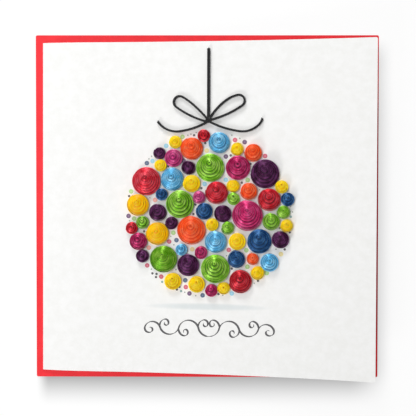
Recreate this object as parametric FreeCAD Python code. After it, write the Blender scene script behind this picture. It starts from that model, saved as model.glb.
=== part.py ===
"""Folded greeting card with a quilled paper bauble, lying on its red backing sheet.

Millimetres, +Z up. The origin is the middle of the backing sheet's underside. The card's
fold runs along its left side, and its front leaf stands a little open to the right.
Places on the front leaf are read from the fold and from the card's bottom edge.
"""
import FreeCAD
import Part
import math
import os

Vector = FreeCAD.Vector

# Sheets
SHEET_SIZE = 165.1
SHEET_THICKNESS = 0.5
CARD_SIZE = 157.5
CARD_STOCK = 0.3
CORNER_RADIUS = 0.8
MARGIN_AT_FOLD = 3.4
MARGIN_AT_TOP = 3.9
CARD_TURN = -0.15

# Front leaf: it springs up from the fold, lies back, then curls towards its free edge
FOLD_INNER_RADIUS = 0.1
OPENING_ANGLE = 8.8
SPRING_LENGTH = 22.0
SPRING_TURN = -6.6
BODY_LENGTH = 98.0
BODY_TURN = 5.2
CURL_TURN = 3.1

# Quilled coils: a strip wound tight, pushed up into a dome that leans to the card's top
STRIP_WIDTH = 2.0
TURN_STEP = 0.6
COIL_HOLE_RADIUS = 0.3
DOME_RISE = 0.6
DOME_FULLNESS = 1.6
DOME_LEAN = 0.55
GLUE_FILM = 0.06
SMALL_COIL_RADIUS = 3.3

# Bow: doubled black strips standing on edge round a small wound knot
BOW_HEIGHT = 1.5
BOW_STRIP = 1.0
STEM_STRIP = 1.3
STEM_LENGTH = 34.0
KNOT_RADIUS = 1.5
KNOT_PLACE = (79.8, 120.25)

# Middle of the bauble, and each coil's paper, place from that middle and radius
BAUBLE_PLACE = (80.0, 76.5)
COILS = [
    ("red", -2.25, 36.5, 2.9),
    ("light_blue", 5.0, 33.25, 4.9),
    ("yellow", -15.75, 33.5, 2.9),
    ("orange", -8.0, 30.5, 5.2),
    ("yellow", 13.25, 30.25, 3.0),
    ("orange", 20.75, 28.5, 4.0),
    ("purple", -23.25, 28.25, 2.8),
    ("pink", -16.5, 26.0, 4.1),
    ("green", 0.75, 21.5, 6.4),
    ("magenta", 13.75, 21.5, 5.6),
    ("purple", -9.5, 21.5, 3.1),
    ("purple", 26.25, 18.75, 6.6),
    ("yellow", -22.75, 22.5, 2.8),
    ("red", -29.5, 15.0, 6.7),
    ("light_blue", -17.25, 16.0, 5.2),
    ("yellow", -8.0, 14.0, 3.9),
    ("yellow", 11.5, 13.0, 3.0),
    ("red", 3.75, 9.75, 5.2),
    ("orange", 18.75, 10.5, 3.9),
    ("yellow", 34.0, 12.75, 3.0),
    ("red", 28.25, 6.75, 5.2),
    ("navy", 36.75, 7.0, 3.0),
    ("navy", -22.25, 8.75, 2.8),
    ("green", -13.5, 4.25, 6.5),
    ("pink", -4.5, 7.5, 3.0),
    ("green", 11.75, 7.0, 2.9),
    ("yellow", -33.5, 3.75, 5.2),
    ("purple", -24.0, 0.25, 3.9),
    ("navy", -2.0, 1.0, 3.9),
    ("purple", 6.75, 0.0, 4.0),
    ("magenta", 18.25, -0.75, 7.1),
    ("green", 34.75, 1.0, 3.0),
    ("green", 29.25, -3.5, 3.9),
    ("yellow", 36.25, -5.25, 3.0),
    ("green", -31.25, -4.5, 3.0),
    ("purple", -17.5, -4.75, 2.8),
    ("orange", -8.0, -8.0, 6.6),
    ("yellow", 1.75, -5.25, 2.9),
    ("green", 9.0, -6.75, 3.0),
    ("red", -36.5, -7.25, 2.8),
    ("yellow", -24.25, -9.75, 5.2),
    ("magenta", -33.25, -13.5, 4.1),
    ("light_blue", 3.5, -13.25, 5.1),
    ("yellow", 13.5, -13.0, 3.8),
    ("navy", 23.75, -12.75, 5.5),
    ("purple", 33.5, -11.75, 4.0),
    ("magenta", -3.5, -18.5, 2.8),
    ("light_blue", -12.75, -17.25, 2.6),
    ("purple", -31.25, -20.5, 3.0),
    ("green", -21.25, -21.75, 6.2),
    ("purple", -9.5, -24.5, 5.0),
    ("green", 3.25, -26.0, 6.5),
    ("navy", 13.25, -21.25, 3.9),
    ("orange", 20.75, -21.0, 2.6),
    ("light_blue", 28.5, -22.5, 4.1),
    ("yellow", 23.0, -27.5, 3.1),
    ("yellow", -16.75, -32.25, 3.8),
    ("yellow", -5.5, -33.5, 3.7),
    ("magenta", 1.5, -36.25, 2.9),
    ("yellow", 7.25, -35.0, 2.9),
    ("red", 15.0, -31.75, 5.3),
]

# Bow strands: heading in degrees from the leaf's +X, then (length, turn) stretches
LEFT_LOOP_HEADING = 130.5
LEFT_LOOP_OUT = [(9.5, 7.0), (7.0, 12.0)]
LEFT_LOOP_BACK = [(8.5, 174.0), (16.0, 21.5)]
RIGHT_LOOP_HEADING = 60.5
RIGHT_LOOP_OUT = [(13.0, -25.0), (5.5, -24.0)]
RIGHT_LOOP_BACK = [(7.5, -157.0), (16.5, -21.0)]
TAIL_ROOT = (0.3, -0.6)
LEFT_TAIL_HEADING = 210.5
LEFT_TAIL = [(14.5, -24.0), (7.5, -40.0), (4.5, -25.0)]
RIGHT_TAIL_HEADING = -27.5
RIGHT_TAIL = [(15.0, 19.5), (10.0, 54.0), (3.5, 33.0)]


class Stretch:
    """A straight or round stretch of a strip's middle line, in a plane (u, w)."""

    def __init__(self, u, w, heading, length, turn):
        self.u = u
        self.w = w
        self.heading = math.radians(heading)
        self.length = length
        self.turn = math.radians(turn)

    def heading_at(self, share):
        return self.heading + self.turn * share

    def at(self, share, left=0.0):
        """The point at a share of the stretch, moved to its left."""
        heading = self.heading_at(share)
        if self.turn == 0:
            run = self.length * share
            u = self.u + run * math.cos(heading) - left * math.sin(heading)
            w = self.w + run * math.sin(heading) + left * math.cos(heading)
            return u, w
        radius = self.length / self.turn
        centre_u = self.u - radius * math.sin(self.heading)
        centre_w = self.w + radius * math.cos(self.heading)
        u = centre_u + (radius - left) * math.sin(heading)
        w = centre_w - (radius - left) * math.cos(heading)
        return u, w

    def share_at(self, u, left=0.0):
        """The share of the stretch at which its left-hand side passes u."""
        start = self.at(0, left)[0]
        if self.turn == 0:
            return (u - start) / (self.length * math.cos(self.heading))
        radius = self.length / self.turn
        sine = math.sin(self.heading) + (u - start) / (radius - left)
        return (math.asin(sine) - self.heading) / self.turn


def chain(u, w, heading, stretches):
    """Stretches that follow each other smoothly, from (length, turn) pairs."""
    joined = []
    for length, turn in stretches:
        stretch = Stretch(u, w, heading, length, turn)
        joined.append(stretch)
        u, w = stretch.at(1)
        heading += turn
    return joined


def side_edges(stretches, left, spot):
    """The edges of one side of a strip; spot turns (u, w) into a point in space."""
    edges = []
    for stretch in stretches:
        start = spot(*stretch.at(0, left))
        end = spot(*stretch.at(1, left))
        if stretch.turn == 0:
            edges.append(Part.LineSegment(start, end).toShape())
        else:
            middle = spot(*stretch.at(0.5, left))
            edges.append(Part.Arc(start, middle, end).toShape())
    return edges


def strip_face(stretches, right, left, spot):
    """The face between two sides of a strip."""
    first = stretches[0]
    last = stretches[-1]
    edges = side_edges(stretches, right, spot) + side_edges(stretches, left, spot)
    for stretch, share in ((first, 0), (last, 1)):
        corner = spot(*stretch.at(share, right))
        other = spot(*stretch.at(share, left))
        edges.append(Part.LineSegment(corner, other).toShape())
    return Part.Face(Part.Wire(Part.__sortEdges__(edges)))


def in_section(u, w):
    return Vector(u, 0, w)


def in_plan(u, w):
    return Vector(u, w, 0)


# The card's section, from the rear leaf's free edge round the fold and up the front leaf
FOLD_RADIUS = FOLD_INNER_RADIUS + CARD_STOCK / 2
FOLD_REACH = FOLD_RADIUS + CARD_STOCK / 2
FOLD_TURN = OPENING_ANGLE - 180
CURL_LENGTH = CARD_SIZE - FOLD_REACH - SPRING_LENGTH - BODY_LENGTH
SECTION = chain(CARD_SIZE, SHEET_THICKNESS + CARD_STOCK / 2, 180, [
    (CARD_SIZE - FOLD_REACH, 0),
    (-math.radians(FOLD_TURN) * FOLD_RADIUS, FOLD_TURN),
    (SPRING_LENGTH, SPRING_TURN),
    (BODY_LENGTH, BODY_TURN),
    (CURL_LENGTH, CURL_TURN),
])
FRONT_LEAF = SECTION[2:]
LEAF_TOP = CARD_STOCK / 2
GLUED = LEAF_TOP + GLUE_FILM


def leaf_at(across):
    """Height and slope, in degrees, of the glued face over a place on the front leaf."""
    for stretch in FRONT_LEAF:
        if across <= stretch.at(1, GLUED)[0] or stretch is FRONT_LEAF[-1]:
            share = stretch.share_at(across, GLUED)
            return stretch.at(share, GLUED)[1], math.degrees(stretch.heading_at(share))


def on_sheet(shape):
    """Move a shape from the card's own corner to its place on the backing sheet."""
    left = MARGIN_AT_FOLD - SHEET_SIZE / 2
    bottom = SHEET_SIZE / 2 - MARGIN_AT_TOP - CARD_SIZE
    shape.translate(Vector(left, bottom, 0))
    shape.rotate(Vector(left, bottom + CARD_SIZE / 2, 0), Vector(0, 0, 1), CARD_TURN)
    return shape


def red_backing():
    """The flat red sheet that the card is stuck to."""
    half = SHEET_SIZE / 2
    sheet = Part.makeBox(SHEET_SIZE, SHEET_SIZE, SHEET_THICKNESS, Vector(-half, -half, 0))
    corners = [edge for edge in sheet.Edges if abs(edge.tangentAt(0).z) > 0.9]
    return sheet.makeFillet(CORNER_RADIUS, corners)


def folded_card():
    """The white sheet folded once: rear leaf, fold and sprung front leaf."""
    section = strip_face(SECTION, -CARD_STOCK / 2, CARD_STOCK / 2, in_section)
    card = section.extrude(Vector(0, CARD_SIZE, 0))
    corners = []
    for edge in card.Edges:
        at_free_edges = edge.BoundBox.XMin > CARD_SIZE / 2
        if at_free_edges and edge.Length < 2 * CARD_STOCK:
            corners.append(edge)
    return on_sheet(card.makeFillet(CORNER_RADIUS, corners))


def circle_wire(radius, lean, height):
    centre = Vector(0, lean, height)
    return Part.Wire(Part.makeCircle(radius, centre))


def ring_face(outer, inner, height):
    """A flat terrace between two turns, each given as (radius, lean)."""
    inside = circle_wire(*inner, height)
    inside.reverse()
    return Part.Face([circle_wire(*outer, height), inside])


def riser_face(turn, low, high):
    """The upright side of one turn between two heights."""
    return Part.makeCircle(turn[0], Vector(0, turn[1], low)).extrude(Vector(0, 0, high - low))


def coil(radius):
    """A tight coil domed by hand: terraces of turns that lean towards +Y, hollow beneath."""
    count = round((radius - COIL_HOLE_RADIUS) / TURN_STEP)
    step = (radius - COIL_HOLE_RADIUS) / count
    turns = []
    rises = []
    for number in range(count + 1):
        reach = radius - number * step
        turns.append((reach, DOME_LEAN * (radius - reach)))
        rises.append(DOME_RISE * radius * (1 - (reach / radius) ** DOME_FULLNESS))
    faces = [riser_face(turns[0], 0, STRIP_WIDTH)]
    for number in range(count):
        outer = turns[number]
        inner = turns[number + 1]
        rise = rises[number]
        faces.append(ring_face(outer, inner, rise))
        faces.append(ring_face(outer, inner, STRIP_WIDTH + rise))
        if number + 1 < count:
            faces.append(riser_face(inner, rise, rises[number + 1]))
            faces.append(riser_face(inner, STRIP_WIDTH + rise, STRIP_WIDTH + rises[number + 1]))
        else:
            faces.append(riser_face(inner, rise, STRIP_WIDTH + rise))
    shell = Part.makeCompound(faces)
    shell.sewShape()
    solid = Part.Solid(shell.Shells[0])
    if solid.Volume < 0:
        solid.reverse()
    return solid


def seated_coil(across, up, radius):
    """A coil glued square to the front leaf where it stands."""
    height, slope = leaf_at(across)
    solid = coil(radius)
    solid.rotate(Vector(0, 0, 0), Vector(0, 1, 0), -slope)
    solid.translate(Vector(across, up, height))
    return on_sheet(solid)


def coil_nodes():
    """Large coils one by one, and the small coils of each paper together."""
    nodes = {}
    small = {}
    counts = {}
    for paper, across, up, radius in COILS:
        solid = seated_coil(BAUBLE_PLACE[0] + across, BAUBLE_PLACE[1] + up, radius)
        if radius < SMALL_COIL_RADIUS:
            small.setdefault(paper, []).append(solid)
            continue
        counts[paper] = counts.get(paper, 0) + 1
        nodes[f"{paper}_coil_{counts[paper]}"] = solid
    for paper, solids in small.items():
        name = f"small_{paper}_coils" if len(solids) > 1 else f"small_{paper}_coil"
        nodes[name] = Part.makeCompound(solids)
    return nodes


def bow_layer():
    """The space between the glued face and the tops of the bow's strips."""
    face = strip_face(FRONT_LEAF, GLUED, GLUED + BOW_HEIGHT, in_section)
    return face.extrude(Vector(0, CARD_SIZE, 0))


def upright(face):
    """A column over a plan outline, taller than anything on the leaf."""
    tip = FRONT_LEAF[-1].at(1, GLUED + BOW_HEIGHT)[1]
    return face.extrude(Vector(0, 0, tip))


def strand(start, heading, stretches, width):
    line = chain(*start, heading, stretches)
    return upright(strip_face(line, -width / 2, width / 2, in_plan))


def loop(heading, out, back):
    """A loop of the bow: one strand out and one back to the knot."""
    line = chain(*KNOT_PLACE, heading, out)
    turned = heading + sum(turn for length, turn in out)
    leaving = strand(KNOT_PLACE, heading, out, BOW_STRIP)
    returning = strand(line[-1].at(1), turned, back, BOW_STRIP)
    return leaving.fuse(returning)


def tail(side, heading, stretches):
    root = (KNOT_PLACE[0] + side * TAIL_ROOT[0], KNOT_PLACE[1] + TAIL_ROOT[1])
    return strand(root, heading, stretches, BOW_STRIP)


def bow_nodes():
    """The bow's strips, each cut where it meets the ones glued before it."""
    knot_wire = Part.Wire(Part.makeCircle(KNOT_RADIUS, Vector(*KNOT_PLACE, 0)))
    columns = {
        "bow_knot": upright(Part.Face(knot_wire)),
        "bow_stem": strand(KNOT_PLACE, 90, [(STEM_LENGTH, 0)], STEM_STRIP),
        "bow_left_loop": loop(LEFT_LOOP_HEADING, LEFT_LOOP_OUT, LEFT_LOOP_BACK),
        "bow_right_loop": loop(RIGHT_LOOP_HEADING, RIGHT_LOOP_OUT, RIGHT_LOOP_BACK),
        "bow_left_tail": tail(-1, LEFT_TAIL_HEADING, LEFT_TAIL),
        "bow_right_tail": tail(1, RIGHT_TAIL_HEADING, RIGHT_TAIL),
    }
    layer = bow_layer()
    nodes = {}
    placed = []
    for name, column in columns.items():
        strip = column.common(layer)
        if placed:
            strip = strip.cut(placed)
        whole = max(strip.Solids, key=lambda solid: solid.Volume)
        placed.append(whole.copy())
        nodes[name] = on_sheet(whole.removeSplitter())
    return nodes


def build():
    nodes = {"red_backing": red_backing(), "folded_card": folded_card()}
    nodes.update(bow_nodes())
    nodes.update(coil_nodes())
    return nodes


os.makedirs("parts", exist_ok=True)
for name, shape in build().items():
    shape.exportStep(f"parts/{name}.step")
    print(f"{name}: {len(shape.Solids)} solid, {shape.Volume:.1f} mm3, valid {shape.isValid()}")
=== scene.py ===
import math
import random

import bmesh
import bpy
import numpy as np
from mathutils import Matrix, Vector
from mathutils.bvhtree import BVHTree


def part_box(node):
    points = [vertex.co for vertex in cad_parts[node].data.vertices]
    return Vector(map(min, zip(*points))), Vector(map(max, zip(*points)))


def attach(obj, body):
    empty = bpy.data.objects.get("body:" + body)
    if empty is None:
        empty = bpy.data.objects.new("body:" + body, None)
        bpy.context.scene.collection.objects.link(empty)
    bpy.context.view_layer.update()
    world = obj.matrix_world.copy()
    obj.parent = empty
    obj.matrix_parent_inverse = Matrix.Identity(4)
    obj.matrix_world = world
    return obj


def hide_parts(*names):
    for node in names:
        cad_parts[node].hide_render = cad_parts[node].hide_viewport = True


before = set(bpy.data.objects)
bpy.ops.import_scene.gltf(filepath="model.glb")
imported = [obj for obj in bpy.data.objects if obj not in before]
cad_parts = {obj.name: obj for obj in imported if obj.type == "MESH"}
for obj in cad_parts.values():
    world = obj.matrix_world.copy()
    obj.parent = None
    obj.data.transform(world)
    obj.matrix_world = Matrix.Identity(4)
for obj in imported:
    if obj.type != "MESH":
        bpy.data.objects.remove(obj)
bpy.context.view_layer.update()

MM = 0.001

# Where the folded card lies on its red sheet, as millimetres from the sheet's edges, the film
# of glue on it, and how high over it the rays start that find its face
CARD_SIZE = 157.5
MARGIN_AT_FOLD = 3.4
MARGIN_AT_TOP = 3.9
CARD_TURN = math.radians(-0.15)
GLUE_FILM = 0.06
RAY_START = 100

# Coils: each paper strip is wound edge up, pushed into a dome and leaned to the card's top
STRIP_WIDTH = 2.0
PAPER_PITCH = 0.23
PAPER_SHARE = 0.9
COIL_HOLE = 0.32
DOME_RISE = 0.6
DOME_FULLNESS = 1.6
DOME_LEAN = 0.55
LEAN_SHARES = (0.5, 1.0)
SWELL = 0.2
SWELL_CLEARANCE = 0.01
WALL_LEAN = 0.5
WALL_LEAN_RUN = 1.5
START_ANGLES = (-150, -40)
CHORD_ERROR = 0.0145

# Reading a coil's seat from its solid: what counts as one corner, as level and as its foot
WELD = 0.001
LEVEL = 0.9
FOOT_SLACK = 0.01

# Coils: a few turns hold together, then the strip slips up a step and a little in
SLIP_TURNS = (3, 5)
SLIP_SHARES = (3.0, 8.0)
SLIP_GAP = 0.12
SLIP_START = 0.35
SLIP_END = 0.65
STEP_SPREAD = (0.8, 1.2)
LOOSE_COILS = 0.4
LOOSE_GAP = 0.2
LOOSE_TURNS = 8
# Painted shade down each terrace, from its rim after a slip to its foot; then a random grain
TERRACE_SHADES = (1.0, 0.84, 0.68, 0.52, 0.38, 0.3)
GRAIN_TONES = (0.75, 1.15)
GRAIN_SPOTS = 5

# A strip's section: how its cut edge is rounded, and how much of the cut edge's colour each corner
# takes; the rest is the painted shade of the coils' grooves
WALL_SHOWN = 0.5
SHOULDER_DROP = 0.25
CROWN_OFFSET = 0.1
EDGE_SHARES = (0.0, 0.3, 0.9, 1.0, 0.4, 0.0)
EDGE_CREASE = math.radians(25)

# Bow: strips of stacked black paper on edge, from the wound knot, in millimetres and degrees
KNOT_PLACE = (79.8, 120.25)
KNOT_RADIUS = 1.5
KNOT_TURNS = 4
KNOT_CORNERS = 24
KNOT_PROUD = 0.1
STRAND_TUCK = 0.8
BOW_HEIGHT = 1.5
STEM_LENGTH = 34.0
STEM_WIDTH = 1.3
STRAND_WIDTH = 1.0
PLY_STEP = 0.3
PLY_SHARE = 0.94
PLY_SUNK = 0.1
BOW_STEP = 0.35
LEFT_LOOP = (130.5, [(9.5, 7.0), (7.0, 12.0), (8.5, 174.0), (16.0, 21.5)])
RIGHT_LOOP = (60.5, [(13.0, -25.0), (5.5, -24.0), (7.5, -157.0), (16.5, -21.0)])
TAIL_ROOT = (0.3, -0.6)
LEFT_TAIL = (210.5, [(14.5, -24.0), (7.5, -40.0), (4.5, -25.0)])
RIGHT_TAIL = (-27.5, [(15.0, 19.5), (10.0, 54.0), (3.5, 33.0)])

# Printed on the leaf: small rings and dots round the bauble's middle
BAUBLE_PLACE = (80.0, 76.5)
INK_FILM = 0.02
INK_FOOT = 0.25 * INK_FILM
DISC_SIDES = 20
RING_RADIUS = 1.1
RING_MIDDLE = 0.34
PALE_SHARE = 0.25
RINGS = {
    "pink_ink": [(12.25, 34.5), (26.25, 27.0), (-18.75, -13.75), (-29.25, -25.25),
                 (-22.5, -30.5), (-10.75, -35.25), (9.5, -17.25)],
    "purple_ink": [(16.75, 33.5), (8.0, 26.75), (-38.25, -1.75), (-9.0, -38.25), (-12.0, 24.75)],
    "navy_ink": [(-29.5, 23.5), (-15.25, -13.0), (-11.0, -32.0), (-2.75, -39.0)],
    "light_blue_ink": [(-20.25, 31.75), (-26.75, 24.5), (-2.0, 13.75), (8.0, 15.75),
                       (11.0, -37.75)],
    "salmon_ink": [(-25.5, 6.0), (-28.5, -16.75)],
    "sand_ink": [(-1.0, 29.5), (-7.75, -17.25), (33.75, -18.75)],
    "green_ink": [(-12.5, 36.0), (-37.0, 10.0), (-35.5, -3.0), (18.25, 15.75), (17.75, -17.25),
                  (18.25, -25.0), (27.25, -27.75), (-16.75, -9.5)],
}
DOTS = {
    "black_ink": (0.57, [(-7.0, 36.75), (-1.75, 33.0), (10.25, 27.25), (19.5, 23.25),
                         (-19.25, 22.0), (15.5, 14.5), (-3.5, 11.75), (-38.0, 7.75),
                         (-6.25, 4.0), (-7.25, -0.5), (-30.75, -9.0), (-26.75, -29.0),
                         (-24.75, -29.25), (-25.0, -30.75), (11.0, -26.0), (23.25, -31.5),
                         (33.25, -6.5), (37.75, -8.5), (35.5, -16.5), (-13.75, -35.25),
                         (-15.0, -36.5), (4.75, -38.25)]),
    "teal_ink": (0.57, [(-32.5, -7.5), (-22.0, -33.0), (-13.0, -37.25), (38.25, -1.25)]),
    "grey_ink": (0.35, [(-10.0, 36.75), (-8.5, 37.25), (-6.0, 38.0), (10.75, 36.75),
                        (14.5, 35.25), (-27.25, 26.75), (-28.5, 25.5), (23.75, 11.25),
                        (-28.0, 7.0), (38.0, 3.5), (39.0, 1.0), (-37.75, -4.0),
                        (-18.0, -11.25), (-16.5, -15.25), (-27.25, -27.0), (-15.5, -27.0),
                        (8.5, -20.0), (31.5, -16.5), (21.5, -32.75), (-11.25, -37.75),
                        (-6.0, -39.25), (6.75, -38.75)]),
}

# Printed scroll under the bauble: half of it, drawn from its middle with a broad nib
SCROLL_PLACE = (80.2, 21.2)
SCROLL_START = (0, -3.2)
SCROLL_STEP = 0.25
SCROLL_VINE = [(6.7, 76), (12.6, -150), (12.0, 146), (9.4, -140), (5.4, -150), (3.6, -180)]
SCROLL_CURL = [(5.4, 90), (4.4, 140), (3.6, 190)]
CURL_SIZE = 0.98
CURL_SHRINK = 0.03
NIB_ANGLE = math.radians(30)
NIB_THIN = 0.3
NIB_THICK = 0.95
NIB_LIFTED = 3
NIB_TAPER = 9
STROKE_LIFT = 0.002

# The soft printed shade under the bauble, in millimetres from the card's corner
SHADE_MIDDLE = (79.3, 31.9)
SHADE_HALF = (33.0, 2.0)
SHADE_STRENGTH = 0.55
SHADE_TINT = (205, 216, 219)

# Dyes and stocks, as 0 to 255 parts of red, green and blue
WHITE_STOCKS = ((244, 244, 242), (249, 249, 248))
RED_DYES = ((238, 26, 40), (248, 36, 48))
RED_FIBRE = (255, 120, 125)
BLACK_DYES = ((12, 12, 14), (28, 28, 30))
# Pale grey painted on the black strips' cut edges as glints
BLACK_GLINT = (170, 170, 172)
STOCK_UNDER_INK = (250, 250, 250)
NO_LIGHT = (0, 0, 0, 1)

# Quilling papers: sheen, then the dye of the body, the colour of the painted shade on the walls
# in its grooves, and the dye of its rims
PAPERS = {
    "red": (0.46, (202, 14, 34), (88, 2, 14), (255, 104, 118)),
    "rose": (0.46, (222, 36, 56), (104, 6, 20), (255, 122, 136)),
    "light_blue": (0.4, (96, 190, 236), (26, 92, 146), (194, 242, 255)),
    "yellow": (0.0, (255, 232, 0), (255, 190, 0), (255, 250, 84)),
    "amber": (0.0, (255, 216, 0), (255, 166, 0), (255, 234, 50)),
    "orange": (0.16, (255, 92, 22), (226, 44, 0), (255, 166, 120)),
    "purple": (0.45, (60, 2, 50), (4, 0, 4), (156, 84, 152)),
    "pink": (0.4, (200, 54, 126), (100, 8, 58), (250, 146, 192)),
    "green": (0.46, (118, 188, 22), (28, 78, 0), (216, 255, 130)),
    "grass_green": (0.46, (96, 166, 4), (18, 62, 0), (192, 238, 98)),
    "magenta": (0.46, (176, 12, 82), (78, 2, 36), (250, 106, 168)),
    "fuchsia": (0.46, (206, 32, 104), (88, 4, 42), (255, 124, 184)),
    "navy": (0.44, (8, 66, 122), (2, 16, 46), (104, 166, 226)),
}

# Coils wound from another batch of their paper
BATCHES = {
    "yellow_coil_2": "amber",
    "yellow_coil_3": "amber",
    "red_coil_1": "rose",
    "magenta_coil_2": "fuchsia",
    "green_coil_4": "grass_green",
}

INKS = {
    "pink_ink": (205, 85, 110),
    "purple_ink": (95, 60, 105),
    "navy_ink": (60, 85, 120),
    "light_blue_ink": (150, 212, 238),
    "salmon_ink": (240, 160, 145),
    "sand_ink": (240, 220, 150),
    "green_ink": (170, 215, 135),
    "black_ink": (50, 45, 50),
    "teal_ink": (120, 165, 165),
    "grey_ink": (150, 160, 150),
    "scroll_ink": (44, 42, 46),
}

# Table: its side in metres and how far it lies under the card in millimetres. It is grey where
# it catches the card's real shadow, has a soft shadow painted round the card, and glows where it
# shows as background. The painted shadow fades over stretches in millimetres from the red sheet's
# edges, the glow in metres.
TABLE_SIZE = 8
TABLE_DROP = 0.05
TABLE_GREY = (115, 115, 115)
TABLE_GLOW = (0.84, 0.84, 0.84, 1.0)
FAR_GLOW = (0.96, 0.96, 0.96, 1.0)
TABLE_FADE = (0.15, 1.2)
SHADOW_STRENGTH = 0.75
SHADOW_FADES = {"X": ((-1.0, 6.0), (8.0, -15.0)), "Y": ((0.0, -14.0), (-16.0, 8.5))}

# Lamps round the card: azimuth from +X to +Y and elevation in degrees, distance in metres
# and power in watts
WORLD_LIGHT = 0.26
LAMP_SIZE = 0.2
LAMPS = {
    "top_lamp": (103, 29, 0.75, 2.2),
    "left_lamp": (234, 32, 0.75, 1.52),
    "overhead_lamp": (160, 70, 0.6, 1.44),
}

# Camera over the card's upper half: place, sensor and lens in millimetres, turns in degrees,
# clipping in metres
CAMERA_PLACE = (1.93, 20.51, 299.67)
CAMERA_TURNS = (("Z", 0.042), ("Y", 0.28), ("X", -0.814))
CAMERA_SENSOR = 36
CAMERA_LENS = 53.65
CAMERA_SHIFT = -0.084
CAMERA_CLIP = (0.01, 20)


def srgb(red, green, blue):
    """A colour as light, from its 0 to 255 parts."""
    parts = []
    for part in (red, green, blue):
        share = part / 255
        parts.append(share / 12.92 if share <= 0.04045 else ((share + 0.055) / 1.055) ** 2.4)
    return (*parts, 1.0)


class Value:
    """A number that changes over a surface: arithmetic on it adds Math nodes."""

    def __init__(self, finish, socket):
        self.finish = finish
        self.socket = socket

    def maths(self, operation, first, second):
        return self.finish.node("ShaderNodeMath", {"operation": operation}, {0: first, 1: second})

    def __add__(self, other):
        return self.maths("ADD", self, other)

    def __sub__(self, other):
        return self.maths("SUBTRACT", self, other)

    def __rsub__(self, other):
        return self.maths("SUBTRACT", other, self)

    def __mul__(self, other):
        return self.maths("MULTIPLY", self, other)

    def __truediv__(self, other):
        return self.maths("DIVIDE", self, other)

    def __rtruediv__(self, other):
        return self.maths("DIVIDE", other, self)

    __radd__ = __add__
    __rmul__ = __mul__


class Finish:
    """The nodes that make a material, or the world."""

    def __init__(self, name, owner=None, shader="Principled BSDF"):
        self.material = owner or bpy.data.materials.new(name)
        self.material.use_nodes = True
        self.tree = self.material.node_tree
        self.surface = self.tree.nodes[shader]

    def put(self, socket, value):
        if isinstance(value, Value):
            self.tree.links.new(value.socket, socket)
        else:
            socket.default_value = value

    def node(self, kind, settings=None, values=None, out=0):
        """Any node: its settings first, then the values or links of its sockets."""
        made = self.tree.nodes.new(kind)
        for name, setting in (settings or {}).items():
            setattr(made, name, setting)
        for name, value in (values or {}).items():
            self.put(made.inputs[name], value)
        return Value(self, made.outputs[out])

    def set(self, **values):
        for name, value in values.items():
            self.put(self.surface.inputs[name.replace("_", " ")], value)

    def place(self):
        return self.node("ShaderNodeTexCoord", out="Object")

    def noise(self, size_mm, detail=2.0, roughness=0.5):
        """Noise with features of a size in millimetres."""
        values = {"Vector": self.place(), "Scale": 1 / (size_mm * MM), "Detail": detail,
                  "Roughness": roughness}
        return self.node("ShaderNodeTexNoise", {}, values)

    def between(self, value, low, high, soft=True):
        """0 below low and 1 above high."""
        kind = "SMOOTHSTEP" if soft else "LINEAR"
        values = {"Value": value, "From Min": low, "From Max": high}
        return self.node("ShaderNodeMapRange", {"interpolation_type": kind}, values)

    def blend(self, factor, first, second):
        values = {0: factor, 6: first, 7: second}
        return self.node("ShaderNodeMix", {"data_type": "RGBA"}, values, out=2)

    def relief(self, height, depth_mm):
        values = {"Height": height, "Distance": depth_mm * MM, "Strength": 1.0}
        return self.node("ShaderNodeBump", {}, values)

    def along(self, axis):
        """How far a point lies along an axis, in millimetres."""
        return self.node("ShaderNodeSeparateXYZ", {}, {"Vector": self.place()}, out=axis) / MM

    def from_middle(self):
        """Distance from the middle of the card's underside, in metres."""
        values = {0: self.place()}
        return self.node("ShaderNodeVectorMath", {"operation": "LENGTH"}, values, out="Value")

    def background_seen(self):
        """1 on rays that show the background, straight or mirrored, and 0 on rays that light."""
        rays = [self.node("ShaderNodeLightPath", out=f"Is {kind} Ray")
                for kind in ("Camera", "Glossy", "Transmission")]
        return self.between(rays[0] + rays[1] + rays[2], 0.0, 1.0, soft=False)

    def edge_share(self):
        """1 on the cut edge of a strip, 0 down its walls, lower on the coils' terraces by painted
        shade, as its mesh says.
        """
        return self.node("ShaderNodeAttribute", {"attribute_name": "edge"}, {}, out="Fac")


def white_stock():
    """White card with a felt texture, and the pale shade printed under the bauble."""
    finish = Finish("white_stock")
    left, bottom = card_corner()
    felt = finish.noise(1.5, detail=3.0, roughness=0.6) * 0.7 + finish.noise(0.35) * 0.3
    fibres = finish.noise(4.0, detail=4.0, roughness=0.65)
    greyer, whiter = [srgb(*stock) for stock in WHITE_STOCKS]
    white = finish.blend(finish.between(fibres, 0.3, 0.7), greyer, whiter)
    across = finish.along("X") - (left + SHADE_MIDDLE[0])
    up = finish.along("Y") - (bottom + SHADE_MIDDLE[1])
    reach = (across / SHADE_HALF[0]) * (across / SHADE_HALF[0])
    drop = (up / SHADE_HALF[1]) * (up / SHADE_HALF[1])
    shade = (1 - finish.between(reach + drop, 0.0, 1.0)) * SHADE_STRENGTH
    finish.set(Base_Color=finish.blend(shade, white, srgb(*SHADE_TINT)),
               Roughness=0.62 + felt * 0.2, Normal=finish.relief(felt, 0.05),
               Specular_IOR_Level=0.3)
    return finish.material


def red_card():
    """Smooth red card: the dye is a little uneven and the fibres catch the light."""
    finish = Finish("red_card")
    clouds = finish.noise(9.0, detail=4.0, roughness=0.6)
    grain = finish.noise(0.3, detail=3.0)
    darker, lighter = [srgb(*dye) for dye in RED_DYES]
    dyed = finish.blend(finish.between(clouds, 0.3, 0.75), darker, lighter)
    finish.set(Base_Color=finish.blend(grain * 0.12, dyed, srgb(*RED_FIBRE)),
               Roughness=0.5 + grain * 0.2, Normal=finish.relief(grain, 0.02),
               Specular_IOR_Level=0.3)
    return finish.material


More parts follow.
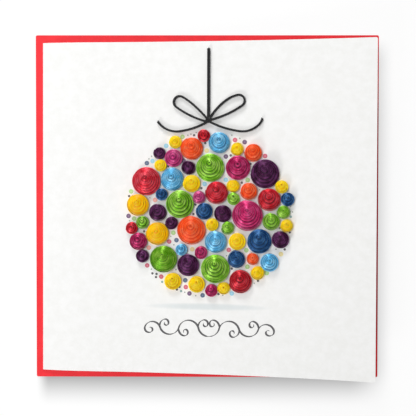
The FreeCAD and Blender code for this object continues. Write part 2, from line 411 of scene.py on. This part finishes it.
def quilling_paper(name, sheen, body, groove_shade, rim):
    """Dyed quilling paper: painted shade darkens its walls below the cut edge, which is a little
    fibrous.
    """
    finish = Finish(name)
    fibres = finish.noise(0.25, detail=3.0, roughness=0.6)
    patches = finish.between(finish.noise(2.5, detail=3.0), 0.35, 0.7)
    dyed = finish.blend(patches * 0.5, body, rim)
    # Painted shade: walls and terrace feet blend to the colour of the shade in the grooves
    cut = finish.blend(finish.between(finish.edge_share(), 0.15, 0.8), groove_shade, dyed)
    finish.set(Base_Color=finish.blend(finish.between(fibres, 0.5, 0.8) * 0.25, cut, rim),
               Roughness=0.25 + fibres * 0.14, Normal=finish.relief(fibres, 0.012),
               Metallic=sheen, Specular_IOR_Level=0.24)
    return finish.material


def black_paper():
    """Black paper on edge, with a soft sheen and pale glints painted in patches on its cut edges.
    """
    finish = Finish("black_paper")
    fibres = finish.noise(0.3, detail=3.0, roughness=0.6)
    # Painted glints: pale flecks on the cut edges, only in some patches
    painted_glints = finish.between(finish.noise(0.5), 0.66, 0.76) * finish.edge_share()
    glint_patches = finish.between(finish.noise(9.0), 0.55, 0.68)
    darker, lighter = [srgb(*dye) for dye in BLACK_DYES]
    black = finish.blend(fibres, darker, lighter)
    finish.set(Base_Color=finish.blend(painted_glints * glint_patches, black, srgb(*BLACK_GLINT)),
               Roughness=0.55 + fibres * 0.2, Normal=finish.relief(fibres, 0.02),
               Specular_IOR_Level=0.3)
    return finish.material


def ink(name, colour):
    """Printed ink: it sinks unevenly into the stock."""
    finish = Finish(name)
    speckle = finish.between(finish.noise(0.2), 0.45, 0.8)
    finish.set(Base_Color=finish.blend(speckle * 0.3, colour, srgb(*STOCK_UNDER_INK)),
               Roughness=0.5 + speckle * 0.2)
    return finish.material


def card_corner():
    """The card's lower left corner before its small turn, in millimetres in the frame."""
    low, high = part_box("red_backing")
    return low.x / MM + MARGIN_AT_FOLD, high.y / MM - MARGIN_AT_TOP - CARD_SIZE


def surface_tree(node):
    """A node's faces, ready for finding where a ray meets them."""
    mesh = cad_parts[node].data
    corners = [corner.co for corner in mesh.vertices]
    return BVHTree.FromPolygons(corners, [face.vertices for face in mesh.polygons])


CARD_FACES = surface_tree("folded_card")


def on_leaf(across, up):
    """Point and normal of the front leaf over a place read from its fold and bottom edge."""
    left, bottom = card_corner()
    pivot = Vector((left, bottom + CARD_SIZE / 2, 0))
    turn = Matrix.Rotation(CARD_TURN, 3, "Z")
    start = (pivot + turn @ (Vector((left + across, bottom + up, 0)) - pivot)) * MM
    start.z = RAY_START * MM
    return CARD_FACES.ray_cast(start, Vector((0, 0, -1)))[:2]


def closed_piece(name, corners, faces, material):
    """A piece of closed skins, all facing out."""
    mesh = bpy.data.meshes.new(name)
    mesh.from_pydata(corners, [], faces)
    made = bmesh.new()
    made.from_mesh(mesh)
    bmesh.ops.recalc_face_normals(made, faces=made.faces)
    made.to_mesh(mesh)
    made.free()
    mesh.materials.append(material)
    piece = bpy.data.objects.new(name, mesh)
    bpy.context.scene.collection.objects.link(piece)
    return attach(piece, "root")


class Sweeps:
    """Closed strips, each a profile carried along a path, gathered into one mesh."""

    def __init__(self):
        self.corners = []
        self.faces = []
        self.edges = []

    def add(self, path, sides, ups, profile, edge_shares, grain_and_shade=None):
        """Profile points are (to the side, up the strip), in metres, on each point of the path."""
        first = len(self.corners)
        for across, rise in profile:
            self.corners.extend((path + sides * across + ups * rise).tolist())
        rows = len(path)
        for spot in range(len(profile)):
            beside = (spot + 1) % len(profile)
            for row in range(rows - 1):
                here = first + spot * rows + row
                there = first + beside * rows + row
                self.faces.append((here, here + 1, there + 1, there))
        start = [first + spot * rows for spot in range(len(profile))]
        self.faces.append(start)
        self.faces.append([corner + rows - 1 for corner in reversed(start)])
        # The edge attribute: each point's cut edge share times the painted shade and random grain
        grain_and_shade = np.ones(rows) if grain_and_shade is None else grain_and_shade
        for share in edge_shares:
            self.edges.extend((share * grain_and_shade).tolist())

    def piece(self, name, material):
        piece = closed_piece(name, self.corners, self.faces, material)
        mesh = piece.data
        mesh.attributes.new("edge", "FLOAT", "POINT").data.foreach_set("value", self.edges)
        mesh.polygons.foreach_set("use_smooth", [True] * len(mesh.polygons))
        mesh.set_sharp_from_angle(angle=EDGE_CREASE)
        return piece


def strip_profile(thickness, height):
    """A strip's section, its cut edge slightly rounded, and the cut edge's share of each point."""
    half = thickness / 2
    shoulder = -SHOULDER_DROP * thickness
    profile = [(half, -height), (half, shoulder - WALL_SHOWN * MM), (half, shoulder),
               (CROWN_OFFSET * half, 0), (-half, shoulder), (-half, -height)]
    return profile, EDGE_SHARES


def coil_seats(node):
    """Middle, upright and radius of each coil in a node, read from its solid."""
    made = bmesh.new()
    made.from_mesh(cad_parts[node].data)
    bmesh.ops.remove_doubles(made, verts=made.verts, dist=WELD * MM)
    # Dictionaries, not sets, because they keep their order and so every run adds up alike
    waiting = dict.fromkeys(made.verts)
    seats = []
    while waiting:
        island = [waiting.popitem()[0]]
        for corner in island:
            for edge in corner.link_edges:
                other = edge.other_vert(corner)
                if other in waiting:
                    del waiting[other]
                    island.append(other)
        terraces = dict.fromkeys(face for corner in island for face in corner.link_faces
                                 if face.normal.z > LEVEL)
        areas = (face.normal * face.calc_area() for face in terraces)
        upright = sum(areas, Vector()).normalized()
        base = min(corner.co.dot(upright) for corner in island)
        foot = base + FOOT_SLACK * MM
        ring = [corner.co for corner in island if corner.co.dot(upright) < foot]
        low = Vector(map(min, zip(*ring)))
        high = Vector(map(max, zip(*ring)))
        seats.append(((low + high) / 2, upright, (high.y - low.y) / 2))
    made.free()
    return sorted(seats, key=lambda seat: tuple(seat[0]))


def swollen(seat, others):
    """A seat whose coil has sprung out till it nearly meets its nearest neighbour."""
    middle, upright, radius = seat
    room = min((middle - other[0]).length - radius - other[2]
               for other in others if other is not seat)
    return middle, upright, radius + min(SWELL * MM, room / 2 - SWELL_CLEARANCE * MM)


def slipped_turns(radius, count, chance):
    """Height, spare room and painted shade of each turn from the rim to the hole."""
    reaches = [radius - (radius - COIL_HOLE * MM) * turn / count for turn in range(count + 2)]
    rises = [DOME_RISE * radius * (1 - max(0.0, reach / radius) ** DOME_FULLNESS)
             for reach in reaches]
    steps = []
    gaps = [0.0]
    turn_shades = [TERRACE_SHADES[0]]
    slip_share = chance.uniform(*SLIP_SHARES)
    loose = LOOSE_GAP * MM if chance.random() < LOOSE_COILS and count > LOOSE_TURNS else 0.0
    until_slip = chance.randint(*SLIP_TURNS)
    held = 0
    for turn in range(count + 1):
        until_slip -= 1
        slips = until_slip == 0
        held = 0 if slips else held + 1
        if slips:
            until_slip = chance.randint(*SLIP_TURNS)
        weight = slip_share if slips else 1.0
        steps.append((rises[turn + 1] - rises[turn]) * weight * chance.uniform(*STEP_SPREAD))
        gaps.append(gaps[-1] + (SLIP_GAP * MM if slips else 0.0) + (loose if turn == 0 else 0.0))
        turn_shades.append(TERRACE_SHADES[min(held, len(TERRACE_SHADES) - 1)])
    scale = rises[-1] / sum(steps)
    heights = [0.0]
    for step in steps:
        heights.append(heights[-1] + step * scale)
    return heights, gaps, turn_shades


def wind(sweeps, seat, chance):
    """Winds one tight coil on its seat, from its outer end to its hole."""
    middle, upright, radius = seat
    count = round((radius / MM - COIL_HOLE) / PAPER_PITCH)
    heights, gaps, turn_shades = slipped_turns(radius, count, chance)
    pitch = (radius - COIL_HOLE * MM - gaps[count]) / count
    thickness = pitch * PAPER_SHARE
    corners = round(math.pi * math.sqrt(radius / MM / (2 * CHORD_ERROR)))
    start = math.radians(chance.uniform(*START_ANGLES))
    length = round((count + 1 - SLIP_END) * corners)
    turns = np.arange(length + 1) / corners - 1 + SLIP_END
    angles = start + turns * 2 * math.pi
    marks = [turn + part for turn in range(count + 1) for part in (SLIP_START, SLIP_END)]

    def along_strip(values):
        """Holds each turn's value, and passes to the next one where the strip slips."""
        pairs = zip(values, values[1:])
        return np.interp(turns, marks, [value for pair in pairs for value in pair])

    reach = radius - thickness / 2 - along_strip(range(count + 2)) * pitch - along_strip(gaps)
    rise = along_strip(heights)
    spots = range(count * GRAIN_SPOTS + 2)
    grain = np.interp(turns * GRAIN_SPOTS, spots, [chance.uniform(*GRAIN_TONES) for spot in spots])
    lean = DOME_LEAN * chance.uniform(*LEAN_SHARES) * (radius - thickness / 2 - reach)
    forward = Vector((0, 1, 0)).cross(upright).normalized()
    axes = np.array([forward, upright.cross(forward), upright])
    local = np.column_stack([reach * np.cos(angles), reach * np.sin(angles) + lean,
                             rise + STRIP_WIDTH * MM])
    back = WALL_LEAN * np.minimum(1, (radius - reach) / (WALL_LEAN_RUN * MM))
    ups = np.column_stack([np.zeros(len(back)), back, np.sqrt(1 - back ** 2)])
    sides = np.column_stack([np.cos(angles), np.sin(angles), np.zeros(len(angles))])
    path = local @ axes + np.array(middle)
    # Painted shade of the terraces times a random grain, which the edge attribute carries
    grain_and_shade = np.clip(along_strip(turn_shades) * grain, 0, 1)
    sweeps.add(path, sides @ axes, ups @ axes, *strip_profile(thickness, STRIP_WIDTH * MM), grain_and_shade)


def quilled_coils():
    """Every coil, wound as the real strip is, in place of its plain solid."""
    papers = {}
    for paper, (sheen, *dyes) in PAPERS.items():
        papers[paper] = quilling_paper(f"{paper}_paper", sheen, *[srgb(*dye) for dye in dyes])
    seats = {node: coil_seats(node) for node in sorted(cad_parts) if "_coil" in node}
    everyone = [seat for group in seats.values() for seat in group]
    for node in seats:
        paper = node.split("_coil")[0].replace("small_", "")
        chance = random.Random(node)
        sweeps = Sweeps()
        for seat in seats[node]:
            wind(sweeps, swollen(seat, everyone), chance)
        piece = sweeps.piece(f"wound_{node}", papers[BATCHES.get(node, paper)])
        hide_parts(node)


def drawn_line(start, heading, stretches, step):
    """Points and headings along round stretches, given as (length, turn) from a start."""
    across, up = start
    heading = math.radians(heading)
    points = []
    for length, turn in stretches:
        count = max(2, round(length / step))
        bend = math.radians(turn) / count
        for piece in range(count):
            points.append((across, up, heading))
            heading += bend / 2
            across += length / count * math.cos(heading)
            up += length / count * math.sin(heading)
            heading += bend / 2
    points.append((across, up, heading))
    return points


def lay_strip(sweeps, line, width, chance):
    """Stacked plies of black paper on edge along a line on the leaf."""
    plies = max(2, round(width / PLY_STEP))
    ply = width / plies
    for number in range(plies):
        offset = (number + 0.5) * ply - width / 2
        trim = chance.randint(0, 1)
        sunk = chance.uniform(0.0, PLY_SUNK)
        path = []
        sides = []
        ups = []
        for across, up, heading in line[trim:len(line) - trim]:
            side = Vector((-math.sin(heading), math.cos(heading), 0))
            place, normal = on_leaf(across + side.x * offset, up + side.y * offset)
            path.append(place + normal * (GLUE_FILM + BOW_HEIGHT - sunk) * MM)
            sides.append(side)
            ups.append(normal)
        profile = strip_profile(ply * PLY_SHARE * MM, (BOW_HEIGHT - sunk) * MM)
        sweeps.add(np.array(path), np.array(sides), np.array(ups), *profile)


def clear_of_knot(line):
    """The points of a line that lie outside the knot, or are tucked just under its rim."""
    rim = KNOT_RADIUS - STRAND_TUCK
    return [spot for spot in line if math.dist(spot[:2], KNOT_PLACE) > rim]


def black_strip(sweeps, node, material):
    """A gathered strip of the bow, in place of its plain solid."""
    piece = sweeps.piece(f"paper_{node}", material)
    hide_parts(node)


def bow_lines():
    """Start, heading, stretches and width of the bow's stem, loops and tails."""
    lines = {
        "bow_stem": (KNOT_PLACE, 90, [(STEM_LENGTH, 0)], STEM_WIDTH),
        "bow_left_loop": (KNOT_PLACE, *LEFT_LOOP, STRAND_WIDTH),
        "bow_right_loop": (KNOT_PLACE, *RIGHT_LOOP, STRAND_WIDTH),
    }
    tails = {"bow_left_tail": (-1, LEFT_TAIL), "bow_right_tail": (1, RIGHT_TAIL)}
    for name, (side, tail) in tails.items():
        root = (KNOT_PLACE[0] + side * TAIL_ROOT[0], KNOT_PLACE[1] + TAIL_ROOT[1])
        lines[name] = (root, *tail, STRAND_WIDTH)
    return lines


def wound_knot(sweeps):
    """The bow's knot: a strip wound inwards round its middle."""
    pitch = PLY_STEP * MM
    turns = np.arange(KNOT_TURNS * KNOT_CORNERS + 1) / KNOT_CORNERS
    angles = turns * 2 * math.pi
    place, normal = on_leaf(*KNOT_PLACE)
    sides = np.column_stack([np.cos(angles), np.sin(angles), turns * 0])
    reach = KNOT_RADIUS * MM - pitch / 2 - turns * pitch
    top = place + normal * (GLUE_FILM + BOW_HEIGHT + KNOT_PROUD) * MM
    path = sides * reach[:, None] + np.array(top)
    ups = np.tile(np.array(normal), (len(turns), 1))
    sweeps.add(path, sides, ups, *strip_profile(pitch * PAPER_SHARE, BOW_HEIGHT * MM))


def black_bow():
    """The bow's stem, loops, tails and knot."""
    black = black_paper()
    for name, (start, heading, stretches, width) in bow_lines().items():
        sweeps = Sweeps()
        line = clear_of_knot(drawn_line(start, heading, stretches, BOW_STEP))
        lay_strip(sweeps, line, width, random.Random(name))
        black_strip(sweeps, name, black)
    knot = Sweeps()
    wound_knot(knot)
    black_strip(knot, "bow_knot", black)


def stamp(corners, faces, spot, radius, lift=0.0):
    """A flat printed disc, as a thin film on the leaf."""
    first = len(corners)
    place, normal = on_leaf(BAUBLE_PLACE[0] + spot[0], BAUBLE_PLACE[1] + spot[1])
    right = Vector((0, 1, 0)).cross(normal).normalized()
    ahead = normal.cross(right)
    for level in (lift + INK_FILM, INK_FOOT):
        for corner in range(DISC_SIDES):
            turn = corner / DISC_SIDES * 2 * math.pi
            out = (right * math.cos(turn) + ahead * math.sin(turn)) * radius
            corners.append(place + (out + normal * level) * MM)
    top = list(range(first, first + DISC_SIDES))
    under = [corner + DISC_SIDES for corner in top]
    faces.extend([top, under])
    for corner in range(DISC_SIDES):
        beside = (corner + 1) % DISC_SIDES
        faces.append((under[corner], under[beside], top[beside], top[corner]))


def pen_stroke(corners, faces, line, lift):
    """A stroke of a broad nib, as a thin film on the leaf."""
    first = len(corners)
    rows = len(line)
    for row, (across, up, heading) in enumerate(line):
        swell = abs(math.sin(heading - NIB_ANGLE))
        taper = min(1, (row + NIB_LIFTED) / NIB_TAPER, (rows - row) / NIB_TAPER)
        half = (NIB_THIN + (NIB_THICK - NIB_THIN) * swell) * taper / 2
        for level in (lift + INK_FILM, INK_FOOT):
            for side in (half, -half):
                spot = (across - math.sin(heading) * side, up + math.cos(heading) * side)
                place, normal = on_leaf(SCROLL_PLACE[0] + spot[0], SCROLL_PLACE[1] + spot[1])
                corners.append(place + normal * level * MM)
    loop = (0, 1, 3, 2)
    for row in range(rows - 1):
        here = first + 4 * row
        for near, far in zip(loop, loop[1:] + loop[:1]):
            faces.append((here + near, here + far, here + 4 + far, here + 4 + near))
    faces.append([first + corner for corner in loop])
    faces.append([first + 4 * (rows - 1) + corner for corner in loop])


def scroll_lines():
    """The vine and its curls, which leave it where it bends back."""
    lines = [drawn_line(SCROLL_START, 0, SCROLL_VINE, SCROLL_STEP)]
    for joint in range(1, len(SCROLL_VINE) - 2):
        across, up, heading = drawn_line(SCROLL_START, 0, SCROLL_VINE[:joint], SCROLL_STEP)[-1]
        way = math.copysign(1, SCROLL_VINE[joint - 1][1])
        size = CURL_SIZE - CURL_SHRINK * joint
        curl = [(length * size, turn * way) for length, turn in SCROLL_CURL]
        lines.append(drawn_line((across, up), math.degrees(heading), curl, SCROLL_STEP))
    return lines


def printed(name, colour, corners, faces):
    piece = closed_piece(f"printed_{name}", corners, faces, ink(name, srgb(*colour)))


def printed_discs(name, colour, spots, radius, lift=0.0):
    """Discs of one ink, printed in one go."""
    corners, faces = [], []
    for spot in spots:
        stamp(corners, faces, spot, radius, lift)
    printed(name, colour, corners, faces)


def printed_leaf():
    """Rings and dots scattered between the coils, and the scroll below them."""
    for name, spots in RINGS.items():
        pale = [part + (255 - part) * PALE_SHARE for part in INKS[name]]
        printed_discs(name, INKS[name], spots, RING_RADIUS)
        printed_discs(f"pale_{name}", pale, spots, RING_RADIUS * RING_MIDDLE, INK_FILM)
    for name, (radius, spots) in DOTS.items():
        printed_discs(name, INKS[name], spots, radius)
    corners, faces = [], []
    for number, line in enumerate(scroll_lines()):
        mirrored = [(-across, up, math.pi - heading) for across, up, heading in line]
        pen_stroke(corners, faces, line, STROKE_LIFT * number)
        pen_stroke(corners, faces, mirrored, STROKE_LIFT * number + STROKE_LIFT / 2)
    printed("scroll_ink", INKS["scroll_ink"], corners, faces)


def dress_card():
    """The sheets keep their solids and take their papers."""
    sheets = (("folded_card", "white_card", white_stock()), ("red_backing", "red_card", red_card()))
    for node, slot, paper in sheets:
        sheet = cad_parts[node]
        for place in sheet.material_slots:
            place.material = paper


def white_table():
    """A plain white table with a soft shadow painted round the card, and white round it."""
    bpy.ops.mesh.primitive_plane_add(size=TABLE_SIZE, location=(0, 0, -TABLE_DROP * MM))
    table = bpy.context.object
    table.name = "table"
    finish = Finish("white_table")
    low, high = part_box("red_backing")
    sheet_edges = {"X": (low.x / MM, high.x / MM), "Y": (high.y / MM, low.y / MM)}
    # Painted shadow round the card: full near the red sheet, fading out past its edges
    shade = SHADOW_STRENGTH
    for axis, edges in sheet_edges.items():
        place = finish.along(axis)
        for edge, (start, end) in zip(edges, SHADOW_FADES[axis]):
            shade = finish.between(place, edge + start, edge + end) * shade
    far = finish.between(finish.from_middle(), *TABLE_FADE)
    lit = finish.blend(shade, finish.blend(far, TABLE_GLOW, FAR_GLOW), NO_LIGHT)
    glow = finish.blend(finish.background_seen(), NO_LIGHT, lit)
    finish.set(Base_Color=finish.blend(shade, srgb(*TABLE_GREY), NO_LIGHT), Roughness=0.9,
               Specular_IOR_Level=0.0, Emission_Color=glow, Emission_Strength=1.0)
    table.data.materials.append(finish.material)


def lamp(name, azimuth, elevation, distance, power):
    """A soft square lamp that looks at the middle of the card's underside."""
    turn = math.radians(azimuth)
    rise = math.radians(elevation)
    out = Vector((math.cos(turn) * math.cos(rise), math.sin(turn) * math.cos(rise),
                  math.sin(rise)))
    light = bpy.data.lights.new(name, "AREA")
    light.size = LAMP_SIZE
    light.energy = power
    placed = bpy.data.objects.new(name, light)
    bpy.context.scene.collection.objects.link(placed)
    placed.location = out * distance
    placed.rotation_euler = (-out).to_track_quat("-Z", "Y").to_euler()


def studio_light():
    """Soft light from all round and from the lamps."""
    world = bpy.data.worlds.new("studio")
    bpy.context.scene.world = world
    air = Finish("studio", world, "Background")
    air.set(Color=(1, 1, 1, 1), Strength=air.background_seen() * (1 - WORLD_LIGHT) + WORLD_LIGHT)
    for name, settings in LAMPS.items():
        lamp(name, *settings)


def camera_over_card():
    """The camera that looks straight down on the card, as in the photograph."""
    camera = bpy.data.cameras.new("camera")
    camera.sensor_width = CAMERA_SENSOR
    camera.lens = CAMERA_LENS
    camera.shift_y = CAMERA_SHIFT
    camera.clip_start, camera.clip_end = CAMERA_CLIP
    placed = bpy.data.objects.new("camera", camera)
    bpy.context.scene.collection.objects.link(placed)
    around, across, along = [Matrix.Rotation(math.radians(degrees), 4, axis)
                             for axis, degrees in CAMERA_TURNS]
    turn = around @ across @ along
    placed.matrix_world = Matrix.Translation(Vector(CAMERA_PLACE) * MM) @ turn
    bpy.context.scene.camera = placed
    bpy.context.scene.view_settings.view_transform = "Standard"


dress_card()
quilled_coils()
black_bow()
printed_leaf()
white_table()
studio_light()
camera_over_card()
